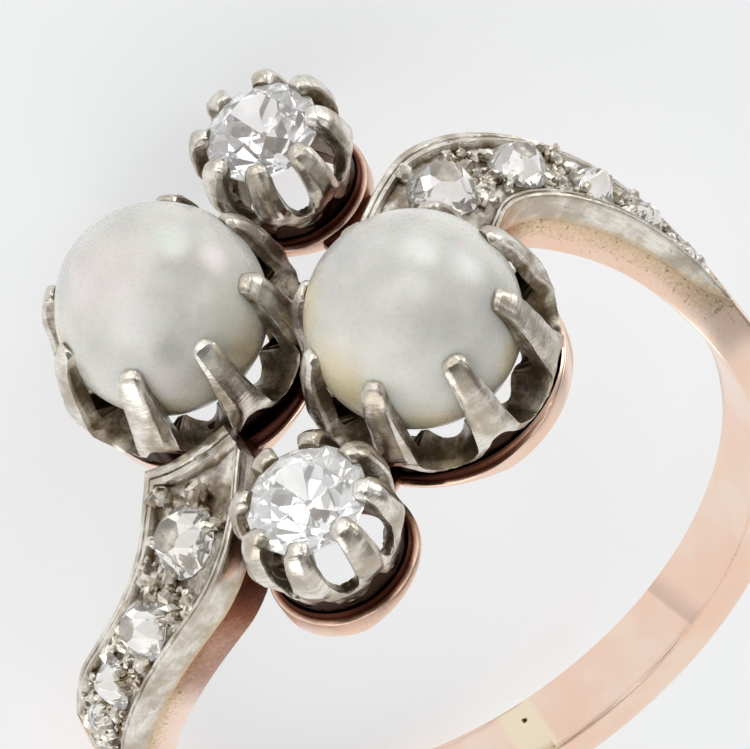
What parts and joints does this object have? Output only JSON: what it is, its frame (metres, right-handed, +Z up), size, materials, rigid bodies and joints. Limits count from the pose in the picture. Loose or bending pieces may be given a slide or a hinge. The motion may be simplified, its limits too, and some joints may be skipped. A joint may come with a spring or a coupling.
{
  "type": "toi et moi ring",
  "caption": "Bypass finger ring with two pearls and two old-cut diamonds in claw coronets, small stones on white-topped shoulders and a plain rose gold band.",
  "frame": {"origin": "on the floor under the middle of the ring as it lies on its side", "axes": "+Z up from the floor, near the finger axis; -Y towards the head with the pearls; +X along the floor across the ring"},
  "size_m": [0.0192, 0.0231, 0.0126],
  "materials": {
    "rose_gold": "polished rose gold with fine wear, darker in the collars",
    "white_metal": "filed and worn white metal with brown tarnish in the recesses",
    "pearl": "satin nacre with faint pink and green orient",
    "diamond": "clear, faceted"
  },
  "bodies": {
    "root": {"shank": "rose_gold", "shoulder_plate_right": "white_metal", "shoulder_plate_left": "white_metal", "pearl_setting_right": "white_metal", "pearl_setting_left": "white_metal", "diamond_setting_upper": "white_metal", "diamond_setting_lower": "white_metal", "pearl_right": "pearl", "pearl_left": "pearl", "diamond_upper": "diamond", "diamond_lower": "diamond", "right_stone_1": "diamond", "right_stone_2": "diamond", "right_stone_3": "diamond", "right_stone_4": "diamond", "right_stone_5": "diamond", "left_stone_1": "diamond", "left_stone_2": "diamond", "left_stone_3": "diamond", "left_stone_4": "diamond", "left_stone_5": "diamond"}
  },
  "joints": []
}
